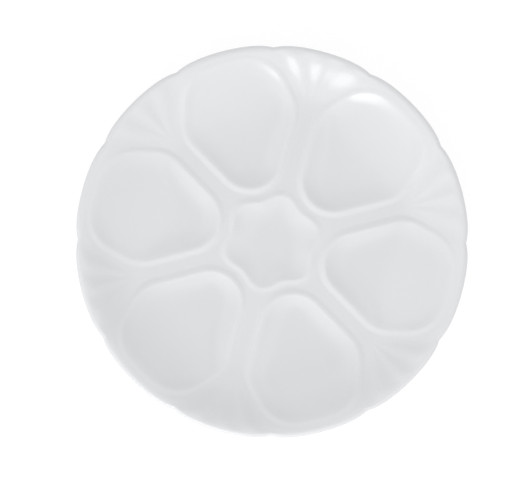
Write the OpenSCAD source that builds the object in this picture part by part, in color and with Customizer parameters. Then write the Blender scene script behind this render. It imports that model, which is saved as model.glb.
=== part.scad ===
// Oyster plate: six wells for half shells round a star-shaped sauce well, a lobed rim with a
// shell fan between each two wells, and a foot ring. The origin is on the table under the
// plate's middle, and one well lies on the +Y side.

/* [Plate] */
// Width of the plate over the lobes of its rim
plate_d = 250; // [240:1:280]
// Height of the lip above the table
lip_h = 30.5; // [26:0.5:34]
// Thickness of the fired body
wall = 4.2; // [3:0.1:5]
// Depth of the notches between the lobes of the rim
notch = 1.6; // [0:0.1:3]
// Thickness of the glaze
glaze = 0.3; // [0.2:0.05:0.5]

/* [Face] */
// Height of the flat part of the face above the table
face_h = 12.5; // [11:0.5:16]
// Radius at which the face starts to rise towards the lip
flat_r = 66; // [60:1:84]
// Height of the rounded bead along the sides of a well
bead_h = 1.1; // [0.4:0.1:1.6]
// Height of the bead round a well's inner end
inner_bead_h = 1.3; // [0.6:0.1:2.2]
// Width of a bead's outer flank
bead_w = 4.5; // [3:0.1:6]
// Width of the plain lip outside the wells and fans, measured at the lobes
lip_w = 4.5; // [3.5:0.1:5]

/* [Oyster wells] */
// Distance from the plate's middle to the inner end of a well
well_start_r = 35.7; // [34:0.1:39]
// Distance from the outer end of a well to the edge of the plate
well_end_gap = 9; // [8:0.1:12]
// Width of the rib between two wells, from crest to crest
rib_w = 15.4; // [12:0.2:18]
// Distance from the plate's middle to the widest part of a well
bend_v = 79.8; // [75:0.2:84]
// Radius of the bend in a well's side
bend_r = 22; // [18:1:34]
// Radius of the outer corners of a well
corner_r = 23.5; // [18:0.5:30]
// Angle by which a well narrows towards the rim
taper = 16; // [10:1:20]
// Height of a well's floor above the table at its deepest
floor_h = 9.5; // [7:0.1:10.5]
// Distance from the plate's middle at which the floor starts to rise
floor_start_v = 38; // [36:1:60]
// Rise of the floor from there to the outer end of the well
floor_rise = 18.5; // [12:0.5:20]
// Width of the curved wall at a well's inner end
inner_wall_w = 22.5; // [14:0.5:24]
// Width of the curved wall along a well's sides
side_wall_w = 27; // [16:0.5:30]

/* [Sauce well] */
// Mean radius of the star
star_r = 28.2; // [25:0.1:29]
// Height of the star's waves, from the mean radius to a tip
star_wave = 2.2; // [0:0.1:3]
// Height of the bead round the star
star_bead_h = 0.8; // [0.4:0.1:1.4]
// Depth of the sauce well below its bead
star_depth = 4.1; // [3:0.1:5]
// Width of the sauce well's curved wall
star_wall_w = 20.8; // [10:0.2:24]

/* [Shell fans] */
// Distance from the plate's middle to the point that the flutes spread from
fan_r = 90.5; // [84:0.5:98]
// Height of the flutes above and below the face, where a fan meets the lip
flute_h = 0.6; // [0:0.05:0.8]
// Angle between two ridges of a fan
flute_pitch = 31; // [26:1:44]

/* [Foot] */
// Outer diameter of the foot ring where it stands on the table
foot_d = 135; // [120:1:150]
// Width of the foot ring's ground face
foot_w = 5; // [3:0.5:8]
// Spread of each side of the foot towards the body
foot_flare = 0.8; // [0:0.1:1.5]
// Height of the bare strip above the table on both sides of the foot
bare_h = 0.8; // [0.4:0.1:1.2]

/* [Hidden] */

wells = 6;
half_step = 180 / wells;
first_well_angle = 90;

plate_r = plate_d / 2;
foot_r = foot_d / 2;
nose_r = wall / 2;
crest_r = plate_r - well_end_gap;
rib_half = rib_w / 2;
lip_r = plate_r - nose_r;
star_top = face_h + star_bead_h;
star_floor_h = star_top - star_depth;

// How far the back of a well's wall lies outside its crest line
back_spread_share = 0.4;
back_spread = wall * back_spread_share;

// Powers that shape the curved walls, the rise of the face, the floors and the notches. The
// crest powers are under 1, which makes the turn at the top of a slope tighter.
wall_power = 4.9;
wall_crest_power = 0.81;
star_power = 2.05;
star_crest_power = 0.51;
face_power = 4.25;
face_crest_power = 0.9;
floor_power = 3.3;
notch_power = 3;

// How much wider the sauce well's wall is at a tip, as a share of the wave there. At 1 the
// wall ends on a circle, and above 1 the waves fade out sooner.
star_fade_share = 1.5;

// A bead changes height by the angle that the crest line faces: from the inner end to the
// sides, and from the sides to the rim, where it keeps this share of its height
rim_bead_share = 0.64;
inner_turn_end = -15;
rim_turn_start = 45;
rim_turn_end = 75;

// The outermost full ridges of a fan, counted from its middle, and the pitches that the next
// ones fade in
fan_half_count = 1;
fan_edge_share = 1.3;

// Steps of the mesh along a half well: on the star, on the gap axis and on the rim
STAR_STEPS = 3;
GAP_SHARES = [0, 0.2, 0.42, 0.64, 0.84, 1];
RIM_SHARES = [1, 0.87, 0.73, 0.62, 0.5, 0.36, 0.18, 0];
GAP_STEPS = len(GAP_SHARES) - 1;
RIM_STEPS = len(RIM_SHARES) - 1;
HALF = STAR_STEPS + GAP_STEPS + RIM_STEPS;
SPOKES = 2 * HALF;

// Rings of the mesh: outside a bead, across its flank, inside the wall, and to the middle.
// Where the space outside a crest line is narrow, the flank's rings take only a share of it.
SIDE_SHARES = [0.6, 0.28];
BEAD_SHARES = [1, 0.5, 0];
NARROW_SHARE = 0.65;
INSET_SHARES = [0.07, 0.2, 0.46];
MIDDLE_SHARES = [0.66, 0.33];
STAR_RING_SHARES = [0.95, 0.84, 0.64, 0.34];
NOSE_ANGLES = [90, 35, 0, -35, -90];
BACK_SHARES = [0.1, 0.22, 0.36, 0.52, 0.68, 0.84];
DISC_SHARES = [0.86, 0.7, 0.52, 0.36, 0.18];

// Small helpers
function clamp(t) = max(0, min(1, t));
function mix(a, b, t) = a + (b - a) * t;
function smooth(t) = let(c = clamp(t)) c * c * (3 - 2 * c);
function way(angle) = [cos(angle), sin(angle)];
function left_of(angle) = [-sin(angle), cos(angle)];
function polar(r, angle) = [r * sin(angle), r * cos(angle)];

// A curve that leaves 1 level, falls steeply soon after and reaches 0 level at 1
function fall(t, power, crest_power) =
    let(c = pow(clamp(t), crest_power))
    pow(1 - c, power) * (1 + power * c);

// Crest line of a well, in its own frame: x across, y along the axis away from the middle.
// It is four arcs joined by straight sides, each as centre, radius, first and last angle.
apex_y = (well_start_r - rib_half) / (1 - sin(half_step));
apex_r = apex_y - well_start_r;
bend_point = [bend_v * tan(half_step) - rib_half / cos(half_step), bend_v];
bend_turn = (half_step + taper) / 2;
bend_middle = bend_point - bend_r / cos(bend_turn) * way(bend_turn - half_step);
corner_base = bend_point - corner_r * way(taper);
corner_back = corner_base * left_of(taper);
corner_reach = pow(crest_r - corner_r, 2) - corner_base * corner_base;
corner_slide = sqrt(corner_back * corner_back + corner_reach) - corner_back;
corner_middle = corner_base + corner_slide * left_of(taper);
corner_end = atan2(corner_middle.y, corner_middle.x);
ARCS = [
    [[0, apex_y], apex_r, -90, -half_step],
    [bend_middle, bend_r, -half_step, taper],
    [corner_middle, corner_r, taper, corner_end],
    [[0, 0], crest_r, corner_end, 90]
];

// Every way from a point to the crest line, as the distance inside it and the line's angle
function arc_ways(p) = [
    for (arc = ARCS)
        let(d = p - arc[0], angle = atan2(d.y, d.x))
        if (angle >= arc[2] && angle <= arc[3]) [arc[1] - norm(d), angle]
];
function side_ways(p) = [
    for (i = [0, 1])
        let(d = p - ARCS[i][0], angle = ARCS[i][3], along = d * left_of(angle))
        let(side_length = (ARCS[i + 1][0] - ARCS[i][0]) * left_of(angle))
        if (along >= 0 && along <= side_length) [ARCS[i][1] - d * way(angle), angle]
];

// The shortest of them: the inset is negative outside the well
function crest_way(p) =
    let(ways = concat(arc_ways(p), side_ways(p)), inset = min([for (w = ways) w[0]]))
    [for (w = ways) if (w[0] == inset) w][0];

// Outlines round the plate, where the angle is counted from a well's axis
function rim_radius(angle) = plate_r - notch * pow(1 - abs(cos(wells * angle)), notch_power);
function star_radius(angle) = star_r - star_wave * cos(wells * angle);

// Heights of the face without its beads and flutes, and of a well's floor
function face_height(r) =
    mix(face_h, lip_h, fall((lip_r - r) / (lip_r - flat_r), face_power, face_crest_power));
function floor_height(y) =
    floor_h + floor_rise * pow(clamp((y - floor_start_v) / (crest_r - floor_start_v)), floor_power);
function well_wall_w(y) =
    mix(inner_wall_w, side_wall_w, smooth((y - well_start_r) / (bend_v - well_start_r)));

// Shares of a bead's height across its flank, and of a wall's height down to the floor
function flank(distance) = pow(cos(90 * clamp(distance / bead_w)), 2);
function well_wall(inset, y) = fall(inset / well_wall_w(y), wall_power, wall_crest_power);
function star_wall(inset, angle) =
    let(width = star_wall_w + star_fade_share * (star_radius(angle) - star_r))
    fall(inset / width, star_power, star_crest_power);

// Height of a well's bead above the face, for the angle that its crest line faces
function crest_bead(angle) =
    let(along_side = smooth((angle + 90) / (inner_turn_end + 90)))
    let(along_rim = smooth((angle - rim_turn_start) / (rim_turn_end - rim_turn_start)))
    mix(inner_bead_h, bead_h, along_side) * mix(1, rim_bead_share, along_rim);

// Flutes of the fan on the gap axis, which lies half a step from the well's axis
function flutes(r, angle) =
    let(p = polar(r, half_step - angle) - [0, fan_r], turns = abs(atan2(p.x, p.y)) / flute_pitch)
    let(fade_in = norm(p) / (lip_r - fan_r), fade_out = smooth((lip_r - r) / lip_w))
    let(edge = 1 - smooth((turns - fan_half_count) / fan_edge_share))
    flute_h * fade_in * fade_out * edge * cos(360 * turns);

// Height of the finished face at a point of the well's frame
function top_height(p) =
    let(q = [abs(p.x), p.y], r = norm(q), angle = atan2(q.x, q.y))
    let(crest = crest_way(q), inset = crest[0], star_inset = star_radius(angle) - r)
    let(face = face_height(r), bead = crest_bead(crest[1]))
    inset >= 0 ? mix(floor_height(q.y), face + bead, well_wall(inset, q.y))
    : star_inset >= 0 ? mix(star_floor_h, star_top, star_wall(star_inset, angle))
    : face + bead * flank(-inset) + star_bead_h * flank(-star_inset) + flutes(r, angle);

// Height of the back: the same form without beads and flutes, a wall's thickness lower
function back_height(p) =
    let(q = [abs(p.x), p.y], r = norm(q), angle = atan2(q.x, q.y), face = face_height(r))
    let(inset = crest_way(q)[0] + back_spread, star_inset = star_radius(angle) - r + back_spread)
    let(well = mix(floor_height(q.y), face, well_wall(inset, q.y)))
    let(star = mix(star_floor_h, face, star_wall(star_inset, angle)))
    (inset >= 0 ? well : star_inset >= 0 ? star : face) - wall;

// Places a point of well k's frame on the plate
function placed(k, p, z) =
    let(axis = first_well_angle + 2 * half_step * k)
    concat(p.y * way(axis) + p.x * left_of(axis), z);

// A wedge's edge for a spoke: along the star, out along the gap axis and back along the rim
function edge_point(i) =
    i > HALF ? let(p = edge_point(SPOKES - i)) [-p.x, p.y]
    : i <= STAR_STEPS ? let(angle = half_step * i / STAR_STEPS) polar(star_radius(angle), angle)
    : i <= STAR_STEPS + GAP_STEPS
        ? let(inner = star_radius(half_step), outer = rim_radius(half_step) - lip_w)
          polar(mix(inner, outer, GAP_SHARES[i - STAR_STEPS]), half_step)
    : let(angle = half_step * RIM_SHARES[i - STAR_STEPS - GAP_STEPS])
      polar(rim_radius(angle) - lip_w, angle);

// The point in a well's middle on which its mesh closes
WELL_MIDDLE = [0, (well_start_r + crest_r) / 2];

// Points of spoke i, from beside the wedge's edge across the bead and down the well's wall
function half_spoke(i) =
    let(b = edge_point(i), crest = crest_way(b), reach = -crest[0], n = way(crest[1]))
    let(p = b - reach * n, flank_w = min(bead_w, NARROW_SHARE * reach))
    let(outs = [for (s = SIDE_SHARES) p + mix(flank_w, reach, s) * n])
    let(beads = [for (s = BEAD_SHARES) p + flank_w * s * n])
    let(ins = [for (s = INSET_SHARES) p - side_wall_w * s * n])
    let(mids = [for (s = MIDDLE_SHARES) mix(WELL_MIDDLE, ins[len(ins) - 1], s)])
    concat(outs, beads, ins, mids);
function spoke(i) =
    i <= HALF ? half_spoke(i) : [for (p = half_spoke(SPOKES - i)) [-p.x, p.y]];

SPOKE_POINTS = [for (i = [0 : SPOKES - 1]) spoke(i)];
SPOKE_HEIGHTS = [for (s = SPOKE_POINTS) [for (p = s) top_height(p)]];
LEVELS = len(SPOKE_POINTS[0]);

// Numbers of points in the mesh's blocks, and where each block starts
STAR_COUNT = 2 * STAR_STEPS * wells;
RIM_COUNT = 2 * RIM_STEPS * wells;
RIM_START = STAR_COUNT;
GAP_START = RIM_START + RIM_COUNT;
WEDGE_START = GAP_START + (GAP_STEPS - 1) * wells;
WEDGE_COUNT = LEVELS * SPOKES + 1;
STAR_RINGS_START = WEDGE_START + WEDGE_COUNT * wells;
STAR_MIDDLE = STAR_RINGS_START + STAR_COUNT * len(STAR_RING_SHARES);
SHELL_START = STAR_MIDDLE + 1;

// Angles of the rim's and the star's points from the axis of the well that they belong to
function rim_angle(m) =
    half_step * (m <= RIM_STEPS ? -RIM_SHARES[m] : RIM_SHARES[2 * RIM_STEPS - m]);
function star_angle(m) = half_step * (m / STAR_STEPS - 1);

// Point of a closed ring round the plate: radius and height are given in the wells' frames
function rim_ring(radius_of, height_of) = [
    for (k = [0 : wells - 1], m = [0 : 2 * RIM_STEPS - 1])
        let(angle = rim_angle(m), p = polar(radius_of(angle), angle))
        placed(k, p, height_of(p))
];

// A ring at a share of the sauce well's radius
function star_ring(share, coat) = [
    for (k = [0 : wells - 1], m = [0 : 2 * STAR_STEPS - 1])
        let(angle = star_angle(m), p = polar(share * star_radius(angle), angle))
        placed(k, p, top_height(p) + coat)
];

// The face: star and rim edges, gap axes, spokes and the star's rings, raised by the coat
function face_points(coat) = concat(
    star_ring(1, coat),
    rim_ring(function(angle) rim_radius(angle) - lip_w, function(p) top_height(p) + coat),
    [for (k = [0 : wells - 1], t = [1 : GAP_STEPS - 1])
        let(p = edge_point(STAR_STEPS + t)) placed(k, p, top_height(p) + coat)],
    [for (k = [0 : wells - 1]) each concat(
        [for (j = [0 : LEVELS - 1], i = [0 : SPOKES - 1])
            placed(k, SPOKE_POINTS[i][j], SPOKE_HEIGHTS[i][j] + coat)],
        [placed(k, WELL_MIDDLE, top_height(WELL_MIDDLE) + coat)])],
    [for (s = STAR_RING_SHARES) each star_ring(s, coat)],
    [[0, 0, star_floor_h + coat]]
);

// Index of a spoke's point: level 0 is the wedge's edge, which neighbours share
function star_index(k, m) = (k * 2 * STAR_STEPS + STAR_STEPS + m) % STAR_COUNT;
function gap_index(k, t) = GAP_START + k % wells * (GAP_STEPS - 1) + t - 1;
function rim_index(k, m) = RIM_START + (k * 2 * RIM_STEPS + m) % RIM_COUNT;
function edge_index(k, i) =
    i <= STAR_STEPS ? star_index(k, i)
    : i < STAR_STEPS + GAP_STEPS ? gap_index(k, i - STAR_STEPS)
    : i <= SPOKES - STAR_STEPS - GAP_STEPS ? rim_index(k, SPOKES - HALF + RIM_STEPS - i)
    : i < SPOKES - STAR_STEPS ? gap_index(k + wells - 1, SPOKES - i - STAR_STEPS)
    : star_index(k, i - SPOKES);
function mesh_index(k, level, i) =
    level == 0 ? edge_index(k, i % SPOKES)
    : WEDGE_START + k * WEDGE_COUNT + (level - 1) * SPOKES + i % SPOKES;

// Triangles between two closed rings of the same count, and from a ring to a middle point
function strip(inner, outer, count) = [
    for (m = [0 : count - 1]) let(n = (m + 1) % count)
        each [[outer + n, outer + m, inner + m], [outer + n, inner + m, inner + n]]
];
function cap(middle, outer, count) = [
    for (m = [0 : count - 1]) [outer + (m + 1) % count, outer + m, middle]
];

function well_faces(k) = concat(
    [for (level = [0 : LEVELS - 1], i = [0 : SPOKES - 1])
        let(a = mesh_index(k, level, i), b = mesh_index(k, level, i + 1))
        let(c = mesh_index(k, level + 1, i + 1), d = mesh_index(k, level + 1, i))
        each [[a, b, c], [a, c, d]]],
    [for (i = [0 : SPOKES - 1])
        [mesh_index(k, LEVELS, i), mesh_index(k, LEVELS, i + 1), WEDGE_START + (k + 1) * WEDGE_COUNT - 1]]
);
function star_ring_start(j) = j < 0 ? 0 : STAR_RINGS_START + j * STAR_COUNT;
function star_faces() = concat(
    [for (j = [0 : len(STAR_RING_SHARES) - 1])
        each strip(star_ring_start(j), star_ring_start(j - 1), STAR_COUNT)],
    cap(STAR_MIDDLE, STAR_MIDDLE - STAR_COUNT, STAR_COUNT)
);

// The lip's rounded nose, which follows the face where that dips at the rim's notches, and the
// back down to the bare strip of the foot, pushed out by the coat
function shell_points(coat) = concat(
    [for (t = NOSE_ANGLES, k = [0 : wells - 1], m = [0 : 2 * RIM_STEPS - 1])
        let(angle = rim_angle(m), r = rim_radius(angle) - nose_r, reach = nose_r + coat)
        placed(k, polar(r + reach * cos(t), angle), face_height(r) - nose_r + reach * sin(t))],
    [for (s = BACK_SHARES) each rim_ring(
        function(angle) mix(rim_radius(angle) - nose_r, foot_r + foot_flare, s),
        function(p) back_height(p) - coat)],
    rim_ring(function(angle) foot_r + foot_flare + coat, function(p) back_height(p) - coat),
    rim_ring(function(angle) foot_r + coat, function(p) bare_h)
);
SHELL_RINGS = len(NOSE_ANGLES) + len(BACK_SHARES) + 2;
SKIN_COUNT = SHELL_START + SHELL_RINGS * RIM_COUNT;
function shell_ring_start(j) = j < 0 ? RIM_START : SHELL_START + j * RIM_COUNT;
function shell_faces() = [
    for (j = [0 : SHELL_RINGS - 1])
        each strip(shell_ring_start(j - 1), shell_ring_start(j), RIM_COUNT)
];

function skin_points(coat) = concat(face_points(coat), shell_points(coat));
SKIN_FACES = concat([for (k = [0 : wells - 1]) each well_faces(k)], star_faces(), shell_faces());

// The back inside the foot ring, from the bare strip to the middle
inner_foot_r = foot_r - foot_w;
function disc_points(coat) = concat(
    rim_ring(function(angle) inner_foot_r - coat, function(p) bare_h),
    rim_ring(function(angle) inner_foot_r - foot_flare - coat, function(p) back_height(p) - coat),
    [for (s = DISC_SHARES) each rim_ring(
        function(angle) (inner_foot_r - foot_flare) * s, function(p) back_height(p) - coat)],
    [[0, 0, star_floor_h - wall - coat]]
);
DISC_RINGS = len(DISC_SHARES) + 2;
DISC_MIDDLE = DISC_RINGS * RIM_COUNT;
DISC_COUNT = DISC_MIDDLE + 1;
DISC_FACES = concat(
    [for (j = [1 : DISC_RINGS - 1]) each strip((j - 1) * RIM_COUNT, j * RIM_COUNT, RIM_COUNT)],
    turned(cap(DISC_MIDDLE, DISC_MIDDLE - RIM_COUNT, RIM_COUNT))
);

function shifted(faces, start) = [for (f = faces) [for (i = f) i + start]];
function turned(faces) = [for (f = faces) [f[2], f[1], f[0]]];

// The fired body, with its wells, rim and foot ring in one
module porcelain_body() {
    foot_edge = SKIN_COUNT;
    disc_start = foot_edge + 2 * RIM_COUNT;
    points = concat(
        skin_points(0),
        rim_ring(function(angle) foot_r, function(p) 0),
        rim_ring(function(angle) inner_foot_r, function(p) 0),
        disc_points(0)
    );
    faces = concat(
        SKIN_FACES,
        strip(foot_edge - RIM_COUNT, foot_edge, RIM_COUNT),
        strip(foot_edge, foot_edge + RIM_COUNT, RIM_COUNT),
        strip(foot_edge + RIM_COUNT, disc_start, RIM_COUNT),
        shifted(DISC_FACES, disc_start)
    );
    color([0.9, 0.89, 0.87])
        polyhedron(points = points, faces = faces);
}

// The glaze over the face, round the lip and down the back to the foot
module face_glaze() {
    last_ring = SKIN_COUNT - RIM_COUNT;
    color([0.96, 0.96, 0.97])
        polyhedron(
            points = concat(skin_points(glaze), skin_points(0)),
            faces = concat(
                SKIN_FACES,
                turned(shifted(SKIN_FACES, SKIN_COUNT)),
                strip(last_ring, last_ring + SKIN_COUNT, RIM_COUNT)
            )
        );
}

// The disc of glaze inside the foot ring
module back_glaze() {
    color([0.94, 0.94, 0.96])
        polyhedron(
            points = concat(disc_points(glaze), disc_points(0)),
            faces = concat(
                DISC_FACES,
                turned(shifted(DISC_FACES, DISC_COUNT)),
                strip(DISC_COUNT, 0, RIM_COUNT)
            )
        );
}

porcelain_body();
face_glaze();
back_glaze();
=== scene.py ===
import math

import bmesh
import bpy
from bpy.props import FloatProperty, FloatVectorProperty, PointerProperty
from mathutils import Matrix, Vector


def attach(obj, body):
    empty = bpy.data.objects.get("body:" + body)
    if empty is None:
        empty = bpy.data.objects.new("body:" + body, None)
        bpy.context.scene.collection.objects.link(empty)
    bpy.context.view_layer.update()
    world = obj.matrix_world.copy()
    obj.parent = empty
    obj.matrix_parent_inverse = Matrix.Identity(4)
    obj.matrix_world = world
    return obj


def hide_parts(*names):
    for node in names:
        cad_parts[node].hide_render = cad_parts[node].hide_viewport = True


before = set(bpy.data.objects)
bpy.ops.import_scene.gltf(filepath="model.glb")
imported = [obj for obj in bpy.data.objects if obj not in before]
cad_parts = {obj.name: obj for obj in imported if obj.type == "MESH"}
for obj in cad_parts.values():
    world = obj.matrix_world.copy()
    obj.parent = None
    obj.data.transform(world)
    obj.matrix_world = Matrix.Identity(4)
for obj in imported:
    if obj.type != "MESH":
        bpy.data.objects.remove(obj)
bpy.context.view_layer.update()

bl_info = {
    "name": "Oyster plate",
    "version": (1, 0, 0),
    "blender": (4, 5, 0),
    "location": "3D View > Sidebar > Oyster plate",
    "description": "A glazed porcelain plate with six wells for oysters round a sauce well",
    "category": "Object",
}

WELLS = 6
HALF_STEP = math.pi / WELLS
FULL_TURN = 2 * math.pi

# Width of the photograph, and the width of the plate in it, in pixels
IMAGE_W = 519
PLATE_W = 393

# Width of the camera's sensor in millimetres
SENSOR_W = 36

# Refractive index of the porcelain and of its glaze
IOR = 1.5
WHITE = (1, 1, 1, 1)

# The mesh layer that holds the depth in the form's hollows, from 0 on the crests to 1 in the
# hollows, and the depth on the plain parts between them. It sets where the glaze looks pooled, with
# painted shade, and where it looks thin, with painted highlights
DEPTH_LAYER = "glaze_depth"
PLAIN_DEPTH = 0.5


def length(name, default, description):
    return FloatProperty(
        name=name, description=description, default=default, unit="LENGTH", precision=4)


def turn(name, degrees, description):
    return FloatProperty(
        name=name, description=description, default=math.radians(degrees), unit="ROTATION")


def amount(name, default, description):
    return FloatProperty(name=name, description=description, default=default, precision=3)


def colour(name, default, description):
    return FloatVectorProperty(
        name=name, description=description, default=default, subtype="COLOR", min=0, max=1)


class PlateSizes(bpy.types.PropertyGroup):
    """Sizes of the porcelain. All but the foot's rounding are the same as the solids'."""

    plate_d: length("Width", 0.250, "Width over the lobes of the rim")
    lip_h: length("Height", 0.0305, "Height of the lip above the table")
    wall: length("Wall", 0.0042, "Thickness of the fired body")
    notch: length("Notch", 0.0016, "Depth of the notches between the lobes of the rim")
    glaze: length("Glaze", 0.0003, "Thickness of the glaze")
    face_h: length("Face height", 0.0125, "Height of the flat part of the face")
    flat_r: length("Flat radius", 0.066, "Radius at which the face starts to rise")
    bead_h: length("Bead height", 0.0011, "Height of the bead along the sides of a well")
    inner_bead_h: length("Inner bead height", 0.0013, "Height of the bead at a well's inner end")
    bead_w: length("Bead width", 0.0045, "Width of a bead's outer flank")
    lip_w: length("Lip width", 0.0045, "Width of the plain lip outside the wells and fans")
    well_start_r: length("Well start", 0.0357, "Distance from the middle to a well's inner end")
    well_end_gap: length("Well end gap", 0.009, "From a well's outer end to the plate's edge")
    rib_w: length("Rib width", 0.0154, "Width of a rib between two wells, from crest to crest")
    bend_v: length("Bend distance", 0.0798, "Distance from the middle to a well's widest part")
    bend_r: length("Bend radius", 0.022, "Radius of the bend in a well's side")
    corner_r: length("Corner radius", 0.0235, "Radius of a well's outer corners")
    taper: turn("Taper", 16, "Angle by which a well narrows towards the rim")
    floor_h: length("Floor height", 0.0095, "Height of a well's floor at its deepest")
    floor_start_v: length("Floor start", 0.038, "Distance from the middle where the floor rises")
    floor_rise: length("Floor rise", 0.0185, "Rise of the floor to the outer end of the well")
    inner_wall_w: length("Inner wall", 0.0225, "Width of the curved wall at a well's inner end")
    side_wall_w: length("Side wall", 0.027, "Width of the curved wall along a well's sides")
    star_r: length("Star radius", 0.0282, "Mean radius of the sauce well")
    star_wave: length("Star wave", 0.0022, "From the star's mean radius to a tip")
    star_bead_h: length("Star bead height", 0.0008, "Height of the bead round the star")
    star_depth: length("Star depth", 0.0041, "Depth of the sauce well below its bead")
    star_wall_w: length("Star wall", 0.0208, "Width of the sauce well's curved wall")
    fan_r: length("Fan start", 0.0905, "Distance from the middle to the point where flutes spread")
    flute_h: length("Flute height", 0.0006, "Height of the flutes where a fan meets the lip")
    flute_pitch: turn("Flute pitch", 31, "Angle between two ridges of a fan")
    foot_d: length("Foot diameter", 0.135, "Outer diameter of the foot ring on the table")
    foot_w: length("Foot width", 0.005, "Width of the foot ring's ground face")
    foot_flare: length("Foot flare", 0.0008, "Spread of each side of the foot towards the body")
    foot_round: length("Foot rounding", 0.0004, "Rounding of the ground face's two edges")
    bare_h: length("Bare height", 0.0008, "Height of the bare strip on both sides of the foot")


class PlateLooks(bpy.types.PropertyGroup):
    """Colours and surface of the glaze and of the bare porcelain. The glaze's colours also paint
    shade into the hollows and highlights onto the crests.
    """

    glaze_colour: colour("Glaze", (0.788, 0.794, 0.811), "White glaze on the flat parts")
    # The pooled and thin colours paint shade into the hollows and highlights onto the crests,
    # besides the glaze's real pooling and thinning
    pool_colour: colour("Pooled glaze", (0.777, 0.783, 0.801), "Glaze gathered in the hollows")
    thin_colour: colour("Thin glaze", (0.798, 0.804, 0.821), "Glaze run thin over the crests")
    pool_depth: amount("Pool depth", 0.55, "Depth above which the glaze starts to look pooled")
    thin_depth: amount("Thin depth", 0.40, "Depth below which the glaze starts to look thin")
    cloud_size: length("Cloud size", 0.030, "Width of the broad changes in the glaze's depth")
    cloud_share: amount("Cloud share", 0.25, "How much the depth changes by them")
    run_size: length("Run size", 0.009, "Width of the finer changes in the glaze's depth")
    run_share: amount("Run share", 0.12, "How much the depth changes by them")
    glaze_roughness: amount("Glaze roughness", 0.17, "Roughness of the glaze")
    gloss_change: amount("Gloss change", 0.5, "Share by which the glaze's roughness changes")
    peel_size: length("Ripple size", 0.006, "Width of the glaze's faint ripples")
    peel_depth: length("Ripple depth", 0.000012, "Depth of the glaze's faint ripples")
    fine_peel_size: length("Fine ripple size", 0.0012, "Width of the finer ripples on them")
    fine_peel_share: amount("Fine ripple share", 0.25, "Depth of the finer ripples beside them")
    bare_colour: colour("Bare porcelain", (0.73, 0.70, 0.64), "Fired body on the ground foot")
    worn_colour: colour("Worn porcelain", (0.52, 0.50, 0.46), "Grey marks where the foot rubs")
    rub_size: length("Rub size", 0.006, "Width of the grey marks")
    rub_start: amount("Rub start", 0.52, "Noise at which the grey marks start")
    rub_full: amount("Rub full", 0.72, "Noise at which the grey marks are full")
    speck_size: length("Speck size", 0.0009, "Width of the specks in the bare body")
    speck_start: amount("Speck start", 0.70, "Noise at which the specks start")
    speck_full: amount("Speck full", 0.78, "Noise at which the specks are full")
    speck_share: amount("Speck share", 0.5, "Strength of the specks' grey")
    bare_roughness: amount("Bare roughness", 0.62, "Least roughness of the bare body")
    grain_roughness: amount("Grain roughness", 0.25, "Roughness that the grain adds")
    grain_size: length("Grain size", 0.0006, "Width of the bare body's grains")
    grain_depth: length("Grain depth", 0.00004, "Depth of the bare body's grain")
    ring_share: amount("Ring share", 0.7, "Depth of the grinding's rings beside the grain")


class PlateStage(bpy.types.PropertyGroup):
    """Camera, lamp, surroundings and floor."""

    roll: turn("Camera roll", 14.5, "Turn of the plate in the picture, counterclockwise")
    camera_h: length("Camera height", 1.6, "Height of the camera above the lip")
    aim_x: length("Aim across", -0.00795, "Place of the picture's middle across the plate")
    aim_y: length("Aim along", -0.00445, "Place of the picture's middle along the plate")
    world_light: amount("Ambient light", 0.790, "Strength of the white surroundings on the plate")
    shade: amount("Lens shade", 0.5, "Darkening round the lens, which level glaze mirrors")
    shade_core: amount("Shade core", 0.5, "Share of that space's area that is at its darkest")
    shade_aside: turn("Shade aside", 3.3, "Turn of that space's middle to the left")
    shade_w: turn("Shade width", 11, "Half of that space's width, seen from the plate")
    shade_h: turn("Shade height", 43, "Half of that space's height, seen from the plate")
    key_power: amount("Key power", 8.75, "Power of the large soft lamp in watts")
    key_size: length("Key size", 1.5, "Width of the large soft lamp")
    key_azimuth: turn("Key azimuth", 232, "Direction in which the large soft lamp stands")
    key_elevation: turn("Key elevation", 35, "Height angle of the large soft lamp")
    key_distance: length("Key distance", 1.5, "Distance of the large soft lamp from the plate")
    glow: amount("Glow", 4.2, "Brightness of the low glow that steep glaze mirrors")
    glow_azimuth: turn("Glow azimuth", 230, "Direction in which the low glow stands")
    glow_elevation: turn("Glow elevation", 10, "Height angle of the low glow")
    glow_w: turn("Glow width", 27, "Half of the low glow's width, seen from the plate")
    glow_h: turn("Glow height", 21, "Half of the low glow's height, seen from the plate")
    floor_size: length("Floor size", 6, "Width of the floor")
    paper: amount("Paper", 0.9, "Brightness of the floor's paper")
    floor_white: amount("Floor white", 0.83, "Share of plain white in the floor as it is seen")
    white_light: amount("White strength", 1.07, "Strength of that plain white")
    side_fade: amount("Side fade", 0.1, "How softly a sky patch ends a quarter turn from its middle")


def clamp(t):
    return max(0.0, min(1.0, t))


def mix(a, b, t):
    return a + (b - a) * t


def smooth(t):
    c = clamp(t)
    return c * c * (3 - 2 * c)


def fall(t, power, crest_power):
    """Leaves 1 level, falls steeply soon after and reaches 0 level at 1."""
    c = clamp(t) ** crest_power
    return (1 - c) ** power * (1 + power * c)


def way(angle):
    return Vector((math.cos(angle), math.sin(angle)))


def left_of(angle):
    return Vector((-math.sin(angle), math.cos(angle)))


def shares(count):
    """Shares of a way at which each of its steps ends."""
    return [(step + 1) / count for step in range(count)]


def polar(r, angle):
    """A point at an angle from a well's axis, in that well's frame."""
    return Vector((r * math.sin(angle), r * math.cos(angle)))


def raised(p, z):
    return Vector((p.x, p.y, z))


def local_point(p):
    """The same point in the frame of the well whose wedge it lies in."""
    angle = math.atan2(p.x, p.y)
    return polar(math.hypot(p.x, p.y), angle - 2 * HALF_STEP * round(angle / (2 * HALF_STEP)))


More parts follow.
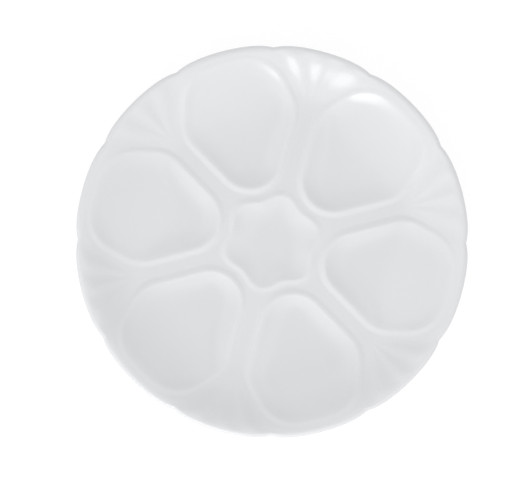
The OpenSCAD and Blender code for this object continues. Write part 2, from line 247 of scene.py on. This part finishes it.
class PlateForm:
    """Outlines and heights of the plate, in the frame of one well: y runs out along its axis."""

    # Powers that shape the curved walls, the rise of the face, the floors and the notches. The
    # crest powers are under 1, which makes the turn at the top of a slope tighter.
    wall_power = 4.9
    wall_crest_power = 0.81
    star_power = 2.05
    star_crest_power = 0.51
    face_power = 4.25
    face_crest_power = 0.9
    floor_power = 3.3
    notch_power = 3

    # How much wider the sauce well's wall is at a tip, as a share of the wave there
    star_fade_share = 1.5

    # How far the back of a wall lies outside its crest line, as a share of the thickness
    back_spread_share = 0.4

    # A bead changes height by the angle that the crest line faces: from the inner end to the
    # sides, and from the sides to the rim, where it keeps this share of its height
    rim_bead_share = 0.64
    inner_turn_end = math.radians(-15)
    rim_turn_start = math.radians(45)
    rim_turn_end = math.radians(75)

    # Flutes on each side of a fan's middle one, and the flutes over which the fan fades out
    fan_half_count = 1
    fan_edge_share = 1.3

    def __init__(self, sizes):
        for name in sizes.__annotations__:
            setattr(self, name, getattr(sizes, name))
        self.plate_r = self.plate_d / 2
        self.foot_r = self.foot_d / 2
        self.inner_foot_r = self.foot_r - self.foot_w
        self.nose_r = self.wall / 2
        self.lip_r = self.plate_r - self.nose_r
        self.crest_r = self.plate_r - self.well_end_gap
        self.well_middle = Vector((0, (self.well_start_r + self.crest_r) / 2))
        self.star_top = self.face_h + self.star_bead_h
        self.star_floor_h = self.star_top - self.star_depth
        self.back_spread = self.wall * self.back_spread_share
        self.arcs = self.crest_arcs()

    def crest_arcs(self):
        """The crest line's four arcs, each as centre, radius, first and last angle."""
        rib_half = self.rib_w / 2
        apex_y = (self.well_start_r - rib_half) / (1 - math.sin(HALF_STEP))
        bend_x = self.bend_v * math.tan(HALF_STEP) - rib_half / math.cos(HALF_STEP)
        bend = Vector((bend_x, self.bend_v))
        bend_turn = (HALF_STEP + self.taper) / 2
        bend_middle = bend - self.bend_r / math.cos(bend_turn) * way(bend_turn - HALF_STEP)
        base = bend - self.corner_r * way(self.taper)
        along = left_of(self.taper)
        back = base.dot(along)
        reach = (self.crest_r - self.corner_r) ** 2 - base.dot(base)
        corner_middle = base + (math.sqrt(back * back + reach) - back) * along
        corner_end = math.atan2(corner_middle.y, corner_middle.x)
        return (
            (Vector((0, apex_y)), apex_y - self.well_start_r, -math.pi / 2, -HALF_STEP),
            (bend_middle, self.bend_r, -HALF_STEP, self.taper),
            (corner_middle, self.corner_r, self.taper, corner_end),
            (Vector((0, 0)), self.crest_r, corner_end, math.pi / 2),
        )

    def crest_way(self, p):
        """Distance inside the crest line and the angle that the line faces there."""
        ways = []
        for middle, radius, first, last in self.arcs:
            d = p - middle
            angle = math.atan2(d.y, d.x)
            if first <= angle <= last:
                ways.append((radius - d.length, angle))
        for (middle, radius, _, angle), after in zip(self.arcs[:2], self.arcs[1:3]):
            d = p - middle
            if 0 <= d.dot(left_of(angle)) <= (after[0] - middle).dot(left_of(angle)):
                ways.append((radius - d.dot(way(angle)), angle))
        return min(ways)

    def rim_radius(self, angle):
        return self.plate_r - self.notch * (1 - abs(math.cos(WELLS * angle))) ** self.notch_power

    def star_radius(self, angle):
        return self.star_r - self.star_wave * math.cos(WELLS * angle)

    def face_height(self, r):
        along = (self.lip_r - r) / (self.lip_r - self.flat_r)
        return mix(self.face_h, self.lip_h, fall(along, self.face_power, self.face_crest_power))

    def floor_height(self, y):
        along = clamp((y - self.floor_start_v) / (self.crest_r - self.floor_start_v))
        return self.floor_h + self.floor_rise * along ** self.floor_power

    def well_wall(self, inset, y):
        """Share of a well's depth that its curved wall still stands above the floor."""
        along = smooth((y - self.well_start_r) / (self.bend_v - self.well_start_r))
        width = mix(self.inner_wall_w, self.side_wall_w, along)
        return fall(inset / width, self.wall_power, self.wall_crest_power)

    def star_wall(self, inset, angle):
        """The same share for the sauce well."""
        width = self.star_wall_w + self.star_fade_share * (self.star_radius(angle) - self.star_r)
        return fall(inset / width, self.star_power, self.star_crest_power)

    def flank(self, distance):
        """Share of a bead's height at a distance outside its crest line."""
        return math.cos(math.pi / 2 * clamp(distance / self.bead_w)) ** 2

    def crest_bead(self, angle):
        """Height of a well's bead, for the angle that its crest line faces."""
        along_side = smooth((angle + math.pi / 2) / (self.inner_turn_end + math.pi / 2))
        rim_turn = self.rim_turn_end - self.rim_turn_start
        along_rim = smooth((angle - self.rim_turn_start) / rim_turn)
        height = mix(self.inner_bead_h, self.bead_h, along_side)
        return height * mix(1, self.rim_bead_share, along_rim)

    def flutes(self, r, angle):
        """Height of the fan's flutes, for a distance and an angle from a well's axis."""
        p = polar(r, HALF_STEP - angle) - Vector((0, self.fan_r))
        turns = abs(math.atan2(p.x, p.y)) / self.flute_pitch
        fade_in = p.length / (self.lip_r - self.fan_r)
        fade_out = smooth((self.lip_r - r) / self.lip_w)
        edge = 1 - smooth((turns - self.fan_half_count) / self.fan_edge_share)
        return self.flute_h * fade_in * fade_out * edge * math.cos(FULL_TURN * turns)

    def top(self, p):
        """Height of the face, and the depth in its hollows there: 0 on crests, 1 in hollows. That
        depth darkens the glaze with pooling and painted shade, and lightens it with thin glaze and
        painted highlights.
        """
        q = Vector((abs(p.x), p.y))
        r = q.length
        angle = math.atan2(q.x, q.y)
        inset, facing = self.crest_way(q)
        star_inset = self.star_radius(angle) - r
        face = self.face_height(r) + self.flutes(r, angle)
        bead = self.crest_bead(facing)
        if inset >= 0:
            stands = self.well_wall(inset, q.y)
            return mix(self.floor_height(q.y), face + bead, stands), 1 - stands
        if star_inset >= 0:
            stands = self.star_wall(star_inset, angle)
            return mix(self.star_floor_h, self.star_top, stands), 1 - stands
        flank, star_flank = self.flank(-inset), self.flank(-star_inset)
        height = face + bead * flank + self.star_bead_h * star_flank
        return height, PLAIN_DEPTH * (1 - max(flank, star_flank))

    def back_height(self, p):
        """Height of the back: the same form without beads and flutes, a wall's thickness lower."""
        q = Vector((abs(p.x), p.y))
        angle = math.atan2(q.x, q.y)
        inset = self.crest_way(q)[0] + self.back_spread
        star_inset = self.star_radius(angle) - q.length + self.back_spread
        z = self.face_height(q.length)
        if inset >= 0:
            z = mix(self.floor_height(q.y), z, self.well_wall(inset, q.y))
        elif star_inset >= 0:
            z = mix(self.star_floor_h, z, self.star_wall(star_inset, angle))
        return z - self.wall


def grow(bm, edges, place):
    """Extrudes a loop of edges, places each new vertex and returns the new loop."""
    made = bmesh.ops.extrude_edge_only(bm, edges=edges)["geom"]
    verts = {g for g in made if isinstance(g, bmesh.types.BMVert)}
    for vert in verts:
        place(vert)
    return [g for g in made if isinstance(g, bmesh.types.BMEdge) and set(g.verts) <= verts]


def close_loop(bm, edges, middle):
    """Closes a loop of edges with a fan of faces round a middle point."""
    made = bmesh.ops.extrude_edge_only(bm, edges=edges)["geom"]
    verts = [g for g in made if isinstance(g, bmesh.types.BMVert)]
    bmesh.ops.pointmerge(bm, verts=verts, merge_co=middle)


class Skin:
    """Surface of the plate in a mesh, raised off the fired body by a coat of glaze."""

    star_steps = 10
    gap_steps = 36
    rim_steps = 26
    bead_steps = 6
    field_steps = 8
    wall_steps = 12
    floor_steps = 9
    star_rings = 18
    lip_steps = 4
    nose_steps = 8
    back_steps = 22
    disc_steps = 20

    # Share of the space outside a crest line that its flank takes where that is narrow
    narrow_share = 0.65

    # Share of the side wall's width that the rings inside a crest line reach across, and the
    # power that crowds them at that line
    wall_share = 0.5
    wall_crowding = 1.5

    # How much closer the spokes' ends stand near the two ends of the gap axis
    gap_crowding = 0.6

    # Vertices nearer to each other than this are merged where two wedges meet
    merge_gap = 1e-6

    # Faces across the rounding of each edge of the foot's ground face
    round_segments = 3

    def __init__(self, form, coat):
        self.form = form
        self.coat = coat
        self.bm = bmesh.new()
        self.depth = self.bm.verts.layers.float.new(DEPTH_LAYER)
        self.spoke = self.bm.verts.layers.int.new("spoke")
        self.half = self.star_steps + self.gap_steps + self.rim_steps

    def edge_point(self, i):
        """End of spoke i on the edge of a well's wedge: star, gap axis and rim in turn."""
        form = self.form
        if i <= self.star_steps:
            angle = HALF_STEP * i / self.star_steps
            return polar(form.star_radius(angle), angle)
        if i <= self.star_steps + self.gap_steps:
            along = (i - self.star_steps) / self.gap_steps
            along = mix(along, smooth(along), self.gap_crowding)
            outer = form.rim_radius(HALF_STEP) - form.lip_w
            return polar(mix(form.star_radius(HALF_STEP), outer, along), HALF_STEP)
        angle = HALF_STEP * (self.half - i) / self.rim_steps
        return polar(form.rim_radius(angle) - form.lip_w, angle)

    def half_spoke(self, i):
        """Points of spoke i: on the crest, from there outwards, and from there inwards."""
        form = self.form
        end = self.edge_point(i)
        inset, facing = form.crest_way(end)
        n = way(facing)
        crest = end + inset * n
        flank_w = min(form.bead_w, -self.narrow_share * inset)
        outs = [crest + flank_w * t * n for t in shares(self.bead_steps)]
        outs += [outs[-1].lerp(end, t) for t in shares(self.field_steps)]
        reach = self.wall_share * form.side_wall_w
        ins = [crest - reach * t ** self.wall_crowding * n for t in shares(self.wall_steps)]
        ins += [ins[-1].lerp(form.well_middle, t) for t in shares(self.floor_steps)]
        return [crest], outs, ins

    def settle(self, vert):
        """Puts a vertex on the face, above or below where it is."""
        z, vert[self.depth] = self.form.top(local_point(vert.co))
        vert.co.z = z + self.coat

    def add_wedge(self):
        """One well with its bead and its share of the ribs, fans and rim."""
        bm, spoke = self.bm, self.spoke
        spokes = [self.half_spoke(i) for i in range(self.half + 1)]
        start = bmesh.ops.create_circle(bm, segments=2 * self.half, radius=self.form.corner_r)

        def place(vert, row, step):
            i = vert[spoke]
            mirrored = i > self.half
            p = spokes[2 * self.half - i if mirrored else i][row][step]
            vert.co = Vector((-p.x if mirrored else p.x, p.y, 0))

        for i, vert in enumerate(start["verts"]):
            vert[spoke] = i
            place(vert, 0, 0)
        crest_edges = bm.edges[:]
        edges = crest_edges
        for step in range(self.bead_steps + self.field_steps):
            edges = grow(bm, edges, lambda vert: place(vert, 1, step))
        edges = crest_edges
        for step in range(self.wall_steps + self.floor_steps - 1):
            edges = grow(bm, edges, lambda vert: place(vert, 2, step))
        close_loop(bm, edges, raised(self.form.well_middle, 0))
        for vert in bm.verts:
            self.settle(vert)

    def open_loop(self, inner):
        """The open edges round the star, or else those round the rim."""
        middle_r = self.form.plate_r / 2
        return [edge for edge in self.bm.edges
                if edge.is_boundary and (edge.verts[0].co.xy.length < middle_r) == inner]

    def add_face(self):
        """Six wells round the star, and the star's own surface. Returns the loop at the rim."""
        bm = self.bm
        self.add_wedge()
        wedge = bm.verts[:] + bm.edges[:] + bm.faces[:]
        bmesh.ops.spin(bm, geom=wedge, cent=(0, 0, 0), axis=(0, 0, 1), dvec=(0, 0, 0),
                       angle=FULL_TURN * (WELLS - 1) / WELLS, steps=WELLS - 1,
                       use_duplicate=True)
        bmesh.ops.remove_doubles(bm, verts=bm.verts[:], dist=self.merge_gap)
        edges = self.open_loop(True)
        for ring in range(1, self.star_rings):
            ratio = (self.star_rings - ring) / (self.star_rings - ring + 1)

            def shrink(vert):
                vert.co = raised(vert.co.xy * ratio, 0)
                self.settle(vert)
            edges = grow(bm, edges, shrink)
        close_loop(bm, edges, Vector((0, 0, self.form.star_floor_h + self.coat)))
        return self.open_loop(False)

    def add_ring(self, edges, radius_of, height_of):
        """Grows a ring round the plate, whose radius and height follow the angle and the place."""
        def place(vert):
            p = local_point(vert.co)
            r = radius_of(math.atan2(p.x, p.y))
            vert.co = raised(vert.co.xy.normalized() * r, height_of(p.normalized() * r))
        return grow(self.bm, edges, place)

    def face_z(self, p):
        return self.form.top(p)[0] + self.coat

    def back_z(self, p):
        return self.form.back_height(p) - self.coat

    def bare_z(self, p):
        return self.form.bare_h

    def add_shell(self, edges):
        """The lip with its rounded nose and the back, down to the bare strip of the foot."""
        form, reach = self.form, self.form.nose_r + self.coat
        for step in range(1, self.lip_steps):
            lip = mix(form.lip_w, form.nose_r, step / self.lip_steps)
            edges = self.add_ring(edges, lambda angle: form.rim_radius(angle) - lip, self.face_z)
        for step in range(self.nose_steps + 1):
            turned = math.pi * (0.5 - step / self.nose_steps)
            out, up = reach * math.cos(turned), reach * math.sin(turned)
            edges = self.add_ring(
                edges,
                lambda angle: form.rim_radius(angle) - form.nose_r + out,
                lambda p: form.face_height(p.length - out) - form.nose_r + up)
        foot_top = form.foot_r + form.foot_flare + self.coat
        for along in shares(self.back_steps):
            edges = self.add_ring(
                edges,
                lambda angle: mix(form.rim_radius(angle) - form.nose_r, foot_top, along),
                self.back_z)
        return self.add_ring(edges, lambda angle: form.foot_r + self.coat, self.bare_z)

    def add_disc(self, edges):
        """The back inside the foot ring, from the bare strip to the middle."""
        top = self.form.inner_foot_r - self.form.foot_flare - self.coat
        for step in range(self.disc_steps):
            r = top * (1 - step / self.disc_steps)
            edges = self.add_ring(edges, lambda angle: r, self.back_z)
        middle_h = self.form.star_floor_h - self.form.wall - self.coat
        close_loop(self.bm, edges, Vector((0, 0, middle_h)))

    def thicken(self):
        """Makes a closed skin of the open one, with the coat's thickness under it."""
        bmesh.ops.recalc_face_normals(self.bm, faces=self.bm.faces[:])
        bmesh.ops.solidify(self.bm, geom=self.bm.faces[:], thickness=self.coat)

    def finish(self, name, node, material):
        """Turns the normals out, smooths the shading and hands the piece to the frame."""
        bmesh.ops.recalc_face_normals(self.bm, faces=self.bm.faces[:])
        for face in self.bm.faces:
            face.smooth = True
        data = bpy.data.meshes.new(name)
        self.bm.verts.layers.int.remove(self.spoke)
        self.bm.to_mesh(data)
        self.bm.free()
        data.materials.append(material)
        piece = bpy.data.objects.new(name, data)
        bpy.context.scene.collection.objects.link(piece)
        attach(piece, "root")
        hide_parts(node)


class Wire:
    """An output of a node that can be used in sums as a number can."""

    def __init__(self, tree, socket):
        self.tree = tree
        self.socket = socket

    def node(self, kind, inputs, output=0, **settings):
        return add_node(self.tree, kind, inputs, output, **settings)

    def math(self, operation, *values):
        return self.node("ShaderNodeMath", dict(enumerate(values)), operation=operation)

    def __add__(self, other):
        return self.math("ADD", self, other)

    __radd__ = __add__

    def __sub__(self, other):
        return self.math("SUBTRACT", self, other)

    def __rsub__(self, other):
        return self.math("SUBTRACT", other, self)

    def __mul__(self, other):
        return self.math("MULTIPLY", self, other)

    __rmul__ = __mul__

    def dot(self, vector):
        inputs = {0: self, 1: vector}
        return self.node("ShaderNodeVectorMath", inputs, "Value", operation="DOT_PRODUCT")

    def ramp(self, low, high):
        """0 below low, 1 above high and smooth between."""
        inputs = {"Value": self, "From Min": low, "From Max": high}
        return self.node("ShaderNodeMapRange", inputs, interpolation_type="SMOOTHSTEP")

    def noise(self, size, detail=2.0, roughness=0.5):
        """Noise over this position, with features of a size in metres."""
        inputs = {"Vector": self, "Scale": 1 / size, "Detail": detail, "Roughness": roughness}
        return self.node("ShaderNodeTexNoise", inputs)

    def blend(self, low, high):
        """Colour low where this is 0 and colour high where it is 1."""
        # A Mix node has several sockets of the same name: 6 and 7 are its colours, 2 their mix
        inputs = {0: self, 6: low, 7: high}
        return self.node("ShaderNodeMix", inputs, 2, data_type="RGBA")

    def bump(self, depth):
        """The normal of a surface with this height, which is a depth in metres where it is 1."""
        return self.node("ShaderNodeBump", {"Height": self, "Distance": depth, "Strength": 1})


def add_node(tree, kind, inputs, output=0, **settings):
    """Adds a node, sets or links its inputs and returns one of its outputs."""
    node = tree.nodes.new(kind)
    for name, value in settings.items():
        setattr(node, name, value)
    for key, value in inputs.items():
        if isinstance(value, Wire):
            tree.links.new(value.socket, node.inputs[key])
        else:
            node.inputs[key].default_value = value
    return Wire(tree, node.outputs[output])


def new_material(name):
    """A material with its shader, and the position on the surface."""
    material = bpy.data.materials.new(name)
    material.use_nodes = True
    tree = material.node_tree
    shader = tree.nodes["Principled BSDF"]
    shader.inputs["IOR"].default_value = IOR
    return material, shader, add_node(tree, "ShaderNodeTexCoord", {}, "Object")


def connect(shader, wires):
    for key, wire in wires.items():
        wire.tree.links.new(wire.socket, shader.inputs[key])


def solid(rgb):
    return (*rgb, 1)


def glaze_material(looks):
    """White glaze, darker in the hollows where it gathers and where shade is painted, lighter on the
    crests where it runs thin and where highlights are painted, and faintly rippled.
    """
    name = "rippled_glaze"
    if name in bpy.data.materials:
        return bpy.data.materials[name]
    material, shader, position = new_material(name)
    depth = position.node("ShaderNodeAttribute", {}, "Fac", attribute_name=DEPTH_LAYER)
    cloud = position.noise(looks.cloud_size, detail=3)
    runs = position.noise(looks.run_size, detail=2)
    uneven = depth + looks.cloud_share * (cloud - 0.5) + looks.run_share * (runs - 0.5)
    # Partly real pooling and thinning of the glaze, partly painted light: the pooled colour paints
    # shade into the hollows and the thin colour paints highlights along the crests
    thin = uneven.ramp(looks.thin_depth, 0)
    pool_and_shade = uneven.ramp(looks.pool_depth, 1)
    base = pool_and_shade.blend(solid(looks.glaze_colour), solid(looks.pool_colour))
    base = thin.blend(base, solid(looks.thin_colour))
    fine_peel = position.noise(looks.fine_peel_size, detail=1)
    peel = position.noise(looks.peel_size, detail=1) + looks.fine_peel_share * fine_peel
    roughness = looks.glaze_roughness * (1 + looks.gloss_change * (cloud - 0.5))
    bump = peel.bump(looks.peel_depth)
    connect(shader, {"Base Color": base, "Roughness": roughness, "Normal": bump})
    return material


def bare_material(looks):
    """Unglazed porcelain: matt and grainy, with rings from grinding and grey rub marks."""
    material, shader, position = new_material("ground_porcelain")
    level = {0: position, 1: (1, 1, 0)}
    flat = position.node("ShaderNodeVectorMath", level, operation="MULTIPLY")
    radius = flat.node("ShaderNodeVectorMath", {0: flat}, "Value", operation="LENGTH")
    ring_inputs = {"W": radius, "Scale": 1 / looks.grain_size, "Detail": 3}
    rings = radius.node("ShaderNodeTexNoise", ring_inputs, noise_dimensions="1D")
    grain = position.noise(looks.grain_size, detail=4, roughness=0.6)
    rubbed = position.noise(looks.rub_size, detail=4, roughness=0.65)
    rubbed = rubbed.ramp(looks.rub_start, looks.rub_full)
    specks = position.noise(looks.speck_size, detail=1)
    specks = looks.speck_share * specks.ramp(looks.speck_start, looks.speck_full)
    base = rubbed.blend(solid(looks.bare_colour), solid(looks.worn_colour))
    base = specks.blend(base, solid(looks.worn_colour))
    bump = (grain + looks.ring_share * rings).bump(looks.grain_depth)
    roughness = looks.bare_roughness + looks.grain_roughness * grain
    connect(shader, {"Base Color": base, "Roughness": roughness, "Normal": bump})
    return material


class PLATE_OT_fired_body(bpy.types.Operator):
    """Builds the fired body, whose foot ring stands bare on the table"""

    bl_idname = "plate.fired_body"
    bl_label = "Fired body"

    def execute(self, context):
        form = PlateForm(context.scene.plate_sizes)
        skin = Skin(form, 0)
        bare = skin.add_shell(skin.add_face())
        sole_outer = skin.add_ring(bare, lambda angle: form.foot_r, lambda p: 0)
        sole_inner = skin.add_ring(sole_outer, lambda angle: form.inner_foot_r, lambda p: 0)
        skin.add_disc(skin.add_ring(sole_inner, lambda angle: form.inner_foot_r, skin.bare_z))
        bmesh.ops.bevel(skin.bm, geom=sole_outer + sole_inner, offset=form.foot_round,
                        segments=skin.round_segments, profile=0.5, affect="EDGES", material=-1)
        material = bare_material(context.scene.plate_looks)
        skin.finish("fired_body", "porcelain_body", material)
        return {"FINISHED"}


class PLATE_OT_glazed_face(bpy.types.Operator):
    """Builds the glaze over the face, round the lip and down the back to the foot"""

    bl_idname = "plate.glazed_face"
    bl_label = "Glazed face"

    def execute(self, context):
        form = PlateForm(context.scene.plate_sizes)
        skin = Skin(form, form.glaze)
        skin.add_shell(skin.add_face())
        skin.thicken()
        material = glaze_material(context.scene.plate_looks)
        skin.finish("glazed_face", "face_glaze", material)
        return {"FINISHED"}


class PLATE_OT_glazed_back(bpy.types.Operator):
    """Builds the disc of glaze inside the foot ring"""

    bl_idname = "plate.glazed_back"
    bl_label = "Glazed back"

    def execute(self, context):
        form = PlateForm(context.scene.plate_sizes)
        skin = Skin(form, form.glaze)
        bmesh.ops.create_circle(skin.bm, segments=2 * skin.rim_steps * WELLS,
                                radius=form.inner_foot_r - skin.coat)
        for vert in skin.bm.verts:
            vert.co.z = form.bare_h
            vert[skin.depth] = PLAIN_DEPTH
        skin.add_disc(skin.bm.edges[:])
        skin.thicken()
        material = glaze_material(context.scene.plate_looks)
        skin.finish("glazed_back", "back_glaze", material)
        return {"FINISHED"}


def seen_directly(tree):
    """1 for the rays that show the background: the camera's, and those off gloss or glass."""
    rays = [add_node(tree, "ShaderNodeLightPath", {}, name) for name in
            ("Is Camera Ray", "Is Glossy Ray", "Is Transmission Ray")]
    return rays[0].math("MAXIMUM", rays[0], rays[1].math("MAXIMUM", rays[1], rays[2]))


def add_camera(context, stage, sizes):
    """A camera straight above, whose picture shows the plate as wide as the photograph does."""
    data = bpy.data.cameras.new("camera")
    data.sensor_width = SENSOR_W
    data.sensor_fit = "HORIZONTAL"
    data.lens = SENSOR_W * stage.camera_h * PLATE_W / (IMAGE_W * sizes.plate_d)
    camera = bpy.data.objects.new("camera", data)
    aim = stage.aim_x * way(-stage.roll) + stage.aim_y * left_of(-stage.roll)
    camera.location = raised(aim, sizes.lip_h + stage.camera_h)
    camera.rotation_euler = (0, 0, -stage.roll)
    context.scene.collection.objects.link(camera)
    context.scene.camera = camera


def towards(azimuth, elevation):
    """The direction with this azimuth, counted from the x axis, and this height angle."""
    return raised(way(azimuth) * math.cos(elevation), math.sin(elevation))


def add_key(context, stage):
    """A large soft lamp. The glaze mirrors the sky's glow in its place."""
    data = bpy.data.lights.new("key", "AREA")
    data.energy = stage.key_power
    data.size = stage.key_size
    lamp = bpy.data.objects.new("key", data)
    lamp.location = stage.key_distance * towards(stage.key_azimuth, stage.key_elevation)
    lamp.rotation_euler = lamp.location.to_track_quat("Z", "Y").to_euler()
    lamp.visible_glossy = False
    context.scene.collection.objects.link(lamp)


def add_floor(context, stage):
    """A white floor that keeps the plate's shadow and is nearly plain white where it is seen."""
    bm = bmesh.new()
    bmesh.ops.create_grid(bm, x_segments=1, y_segments=1, size=stage.floor_size / 2)
    data = bpy.data.meshes.new("floor")
    bm.to_mesh(data)
    bm.free()
    floor = bpy.data.objects.new("floor", data)
    context.scene.collection.objects.link(floor)
    material = bpy.data.materials.new("floor")
    material.use_nodes = True
    tree = material.node_tree
    tree.nodes.clear()
    seen = seen_directly(tree)
    paper = seen.node("ShaderNodeBsdfDiffuse", {"Color": solid((stage.paper,) * 3)})
    white = seen.node("ShaderNodeEmission", {"Color": WHITE, "Strength": stage.white_light})
    surface = seen.node("ShaderNodeMixShader", {0: seen * stage.floor_white, 1: paper, 2: white})
    output = tree.nodes.new("ShaderNodeOutputMaterial")
    tree.links.new(surface.socket, output.inputs["Surface"])
    data.materials.append(material)


def sky_patch(direction, azimuth, elevation, half_w, half_h, core, fade):
    """An oval part of the sky: 1 in its core, a share of its area, and 0 outside it."""
    middle = towards(azimuth, elevation)
    side = raised(left_of(azimuth), 0)
    across = direction.dot(side / math.sin(half_w))
    along = direction.dot(middle.cross(side) / math.sin(half_h))
    # The same oval lies on the far side of the sky too, where the second factor is 0
    return (across * across + along * along).ramp(1, core) * direction.dot(middle).ramp(0, fade)


def add_world(context, stage):
    """White surroundings. Glaze mirrors a darker space round the lens and a low glow."""
    world = bpy.data.worlds.new("surroundings")
    context.scene.world = world
    world.use_nodes = True
    tree = world.node_tree
    direction = add_node(tree, "ShaderNodeTexCoord", {}, "Generated")
    # Overhead and tilted to the picture's left, an oval's width runs up the picture
    shade = sky_patch(direction, math.pi - stage.roll, math.pi / 2 - stage.shade_aside,
                      stage.shade_h, stage.shade_w, stage.shade_core, stage.side_fade)
    glow = sky_patch(direction, stage.glow_azimuth, stage.glow_elevation,
                     stage.glow_w, stage.glow_h, 0, stage.side_fade)
    mirrored = add_node(tree, "ShaderNodeLightPath", {}, "Is Glossy Ray")
    strength = stage.world_light + seen_directly(tree) * (1 - stage.world_light)
    strength = strength * (1 - stage.shade * mirrored * shade) + stage.glow * mirrored * glow
    background = tree.nodes["Background"]
    background.inputs["Color"].default_value = WHITE
    tree.links.new(strength.socket, background.inputs["Strength"])


class PLATE_OT_stage(bpy.types.Operator):
    """Sets up the camera, the lamp, the surroundings and the white floor"""

    bl_idname = "plate.stage"
    bl_label = "Stage"

    def execute(self, context):
        stage = context.scene.plate_stage
        add_camera(context, stage, context.scene.plate_sizes)
        add_key(context, stage)
        add_floor(context, stage)
        add_world(context, stage)
        context.scene.view_settings.view_transform = "Standard"
        return {"FINISHED"}


OPERATORS = (PLATE_OT_stage, PLATE_OT_fired_body, PLATE_OT_glazed_face, PLATE_OT_glazed_back)


class PLATE_PT_panel(bpy.types.Panel):
    """The plate's sizes, colours and stage, and a button for each piece"""

    bl_idname = "PLATE_PT_panel"
    bl_label = "Oyster plate"
    bl_space_type = "VIEW_3D"
    bl_region_type = "UI"
    bl_category = "Oyster plate"

    def draw(self, context):
        scene = context.scene
        for group in (scene.plate_sizes, scene.plate_looks, scene.plate_stage):
            box = self.layout.box()
            for name in group.__annotations__:
                box.prop(group, name)
        for operator in OPERATORS:
            self.layout.operator(operator.bl_idname)


CLASSES = (PlateSizes, PlateLooks, PlateStage, *OPERATORS, PLATE_PT_panel)


def register():
    for cls in CLASSES:
        bpy.utils.register_class(cls)
    bpy.types.Scene.plate_sizes = PointerProperty(type=PlateSizes)
    bpy.types.Scene.plate_looks = PointerProperty(type=PlateLooks)
    bpy.types.Scene.plate_stage = PointerProperty(type=PlateStage)


def unregister():
    del bpy.types.Scene.plate_stage
    del bpy.types.Scene.plate_looks
    del bpy.types.Scene.plate_sizes
    for cls in reversed(CLASSES):
        bpy.utils.unregister_class(cls)


def main():
    register()
    bpy.ops.plate.stage()
    bpy.ops.plate.fired_body()
    bpy.ops.plate.glazed_face()
    bpy.ops.plate.glazed_back()


if __name__ == "__main__":
    main()
